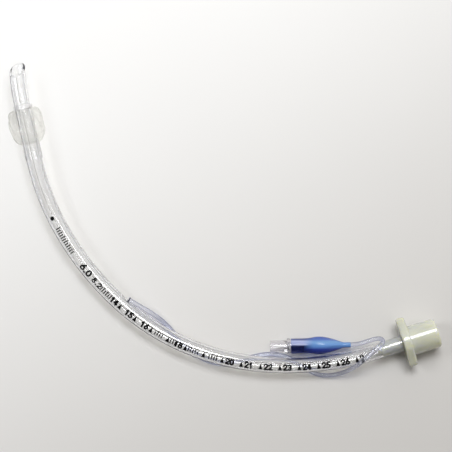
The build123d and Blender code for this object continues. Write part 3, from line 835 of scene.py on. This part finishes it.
def makeMarks():
    # numbers every centimetre, each with its triangle, and the two sizes near them
    strokes = []
    height, width, stroke = marks["height"], marks["width"], marks["stroke"]
    for number in marks["before"] + marks["alone"] + marks["after"] + [marks["last"]]:
        at = number * 10.0 + 1.0
        strokes.append(filledMesh([(-1.1, -height / 2 - 0.2), (1.1, -height / 2 - 0.2), (0, height / 2 + 0.35)],
                                  (at, 0)))
        if number in marks["before"]:
            strokes += writeNumber(str(number), at - 6.0, height, width, stroke)
        if number in marks["after"]:
            strokes += writeNumber(str(number), at + 1.9, height, width, stroke)
        if number == marks["last"]:
            strokes += writeNumber(str(number)[0], at + 1.9, height, width, stroke)  # the line hides the rest
    for size, at, tall, wide, thick in marks["sizes"]:
        strokes += writeNumber(size, at, tall, wide, thick)
    # short upright ticks stand where finer print runs
    for first, last in marks["finePrint"]:
        for place in np.arange(first, last, marks["tickStep"]):
            tall = 1.0 if int(round(place * 10)) % 2 else 0.75
            strokes.append(strokeMesh(np.array([(0, 0), (0, 1)]), (place, -height * 0.4), (1, height * 0.8 * tall),
                                      marks["tickStroke"]))
    # round dot ahead of the print
    angle = np.linspace(0, 2 * np.pi, 24, endpoint=False)[None, :]
    reach = np.array([[0.01], [marks["dotRadius"] / 2], [marks["dotRadius"]]])
    along, across = marks["dotAt"]
    strokes.append(gridMesh("dot", printPoints(along + reach * np.cos(angle), across + reach * np.sin(angle)),
                            closedV=True))
    piece = joinMeshes("depthMarks", strokes)
    tidyMesh(piece, sharpAngle=180.0, recalc=False)
    return piece


depthMarks = makeMarks()
setMaterial(depthMarks, printInk)
fineLine = makeFineLine()
setMaterial(fineLine, fineLineInk)
print("print made")

# connector and valve keep their solids, with finer materials
for node, material in (("connector", connectorCream), ("valve_housing", valveClearPlastic),
                       ("valve_plunger", plungerWhite), ("valve_seal", sealRubber),
                       ("valve_retainer", retainerBlue)):
    setMaterial(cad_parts[node], material)

for piece in (tubeWall, gapShadeRing, cuffFilm, cuffCollar, cuffSleeve, balloonFilm, depthMarks, fineLine,
              linePiece, valveSpring):
    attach(piece, "airway")
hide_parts("tube")
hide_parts("cuff")
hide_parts("pilot_line")
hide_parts("pilot_balloon")
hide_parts("valve_spring")
# in the real valve the spring shortens towards the vented ring as the plunger goes in; here only the point where its
# far end lies on the valve's axis is worked out, and nothing uses it
springEnd = coil["from"] + coil["height"] + coil["wire"]
tuple(float(v) * 0.001 for v in valvePlace(np.float64(0), np.float64(0), np.float64(springEnd)))
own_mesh(valveSpring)

# floor, lamps and surroundings
floor = {
    # the floor's low and high colours are painted shade and painted light, from the lower right to the upper left
    "size": 6000, "low": (0.62, 0.61, 0.595, 1), "high": (0.90, 0.905, 0.905, 1), "slope": (-1.5, 1.9, 0.0),
    "slopeOver": 0.42, "roughness": 0.6, "far": (0.70, 0.70, 0.69, 1), "farFrom": 0.17, "farTo": 0.6,
}


def makeFloor():
    # a flat square; its colour darkens slowly across it towards the lower right, painted shade that stands in for the
    # lamps' fall-off, and far off, where the lamps fade, it is pale to the eye and gives no light
    corners = np.array([[(-1, -1, 0), (1, -1, 0)], [(-1, 1, 0), (1, 1, 0)]], float) * floor["size"] / 2
    piece = gridMesh("floor", corners, smooth=False, flip=True)
    paint, tree, shader = newMaterial("floorPaint")
    typeIn(shader, {"Roughness": floor["roughness"]})
    coords, clouds = colourByNoise(tree, shader, (0.985, 0.985, 0.985, 1), (1, 1, 1, 1), 6.0)
    # painted shade: the colour runs from high at the upper left to low at the lower right
    slope = addNode(tree, "ShaderNodeVectorMath", {1: floor["slope"]}, operation="DOT_PRODUCT")
    share = addNode(tree, "ShaderNodeMapRange", {"From Min": -floor["slopeOver"], "From Max": floor["slopeOver"]},
                    interpolation_type="SMOOTHSTEP")
    reach = addNode(tree, "ShaderNodeVectorMath", operation="LENGTH")
    far = addNode(tree, "ShaderNodeMapRange", {"From Min": floor["farFrom"], "From Max": floor["farTo"]},
                  interpolation_type="SMOOTHSTEP")
    path = addNode(tree, "ShaderNodeLightPath")
    seen = addNode(tree, "ShaderNodeMath", operation="MULTIPLY")
    pale = addNode(tree, "ShaderNodeEmission", {"Color": floor["far"]})
    mix = addNode(tree, "ShaderNodeMixShader")
    joinNodes(tree, (coords.outputs["Object"], slope.inputs[0]), (slope.outputs["Value"], share.inputs["Value"]),
              (coords.outputs["Object"], reach.inputs[0]), (reach.outputs["Value"], far.inputs["Value"]))
    paintedFalloff = mixColours(tree, share.outputs[0], floor["low"], floor["high"])
    joinNodes(tree, (mixColours(tree, 1.0, paintedFalloff, clouds.outputs[0], "MULTIPLY"), shader.inputs["Base Color"]),
              (far.outputs[0], seen.inputs[0]), (path.outputs["Is Camera Ray"], seen.inputs[1]),
              (seen.outputs[0], mix.inputs[0]), (shader.outputs[0], mix.inputs[1]), (pale.outputs[0], mix.inputs[2]),
              (mix.outputs[0], tree.nodes["Material Output"].inputs["Surface"]))
    setMaterial(piece, paint)
    return piece


makeFloor()

lamps = {
    "key": {"at": (0.12, 0.43, 0.92), "wide": 0.55, "high": 0.32, "power": 7.4, "colour": (0.985, 0.99, 1.0)},
    "left": {"at": (-0.66, 0.16, 0.66), "wide": 0.30, "high": 0.30, "power": 2.2, "colour": (0.985, 0.99, 1.0)},
}
for name, lamp in lamps.items():
    x, y, z = lamp["at"]
    data = bpy.data.lights.new(name, "AREA")
    data.shape = "RECTANGLE"
    data.size, data.size_y = lamp["wide"], lamp["high"]
    data.energy = lamp["power"]
    data.color = lamp["colour"]
    lampObject = bpy.data.objects.new(name, data)
    lampObject.location = lamp["at"]
    lampObject.rotation_euler = (math.atan2(math.hypot(x, y), z), 0, math.atan2(y, x) + math.pi / 2)  # to the middle
    scene.collection.objects.link(lampObject)

# bright towards the window and dark away from it, as a room is; the eye sees the floor's far tone instead
surroundings = {
    "window": (0.33, 0.33, 0.18), "strength": 0.34,
    "tones": [(0.25, (0.01, 0.01, 0.01)), (0.6, (0.24, 0.22, 0.195)), (0.86, (2.0, 1.9, 1.75))],
}


def makeSurroundings():
    # the tone follows the direction dot the window's, from behind the room to the window itself
    world = bpy.data.worlds.new("surroundings")
    world.use_nodes = True
    tree = world.node_tree
    light = tree.nodes["Background"]
    coords = addNode(tree, "ShaderNodeTexCoord")
    towards = addNode(tree, "ShaderNodeVectorMath", {1: surroundings["window"]}, operation="DOT_PRODUCT")
    share = addNode(tree, "ShaderNodeMath", {1: 0.5}, operation="ADD")
    ramp = colourRamp(tree, surroundings["tones"])
    typeIn(light, {"Strength": surroundings["strength"]})
    pale = addNode(tree, "ShaderNodeBackground", {"Color": floor["far"]})
    path = addNode(tree, "ShaderNodeLightPath")
    mix = addNode(tree, "ShaderNodeMixShader")
    joinNodes(tree, (coords.outputs["Generated"], towards.inputs[0]), (towards.outputs["Value"], share.inputs[0]),
              (share.outputs[0], ramp.inputs[0]), (ramp.outputs[0], light.inputs["Color"]),
              (path.outputs["Is Camera Ray"], mix.inputs[0]), (light.outputs[0], mix.inputs[1]),
              (pale.outputs[0], mix.inputs[2]), (mix.outputs[0], tree.nodes["World Output"].inputs["Surface"]))
    return world


scene.world = makeSurroundings()
scene.view_settings.view_transform = "Standard"
print("stage made")
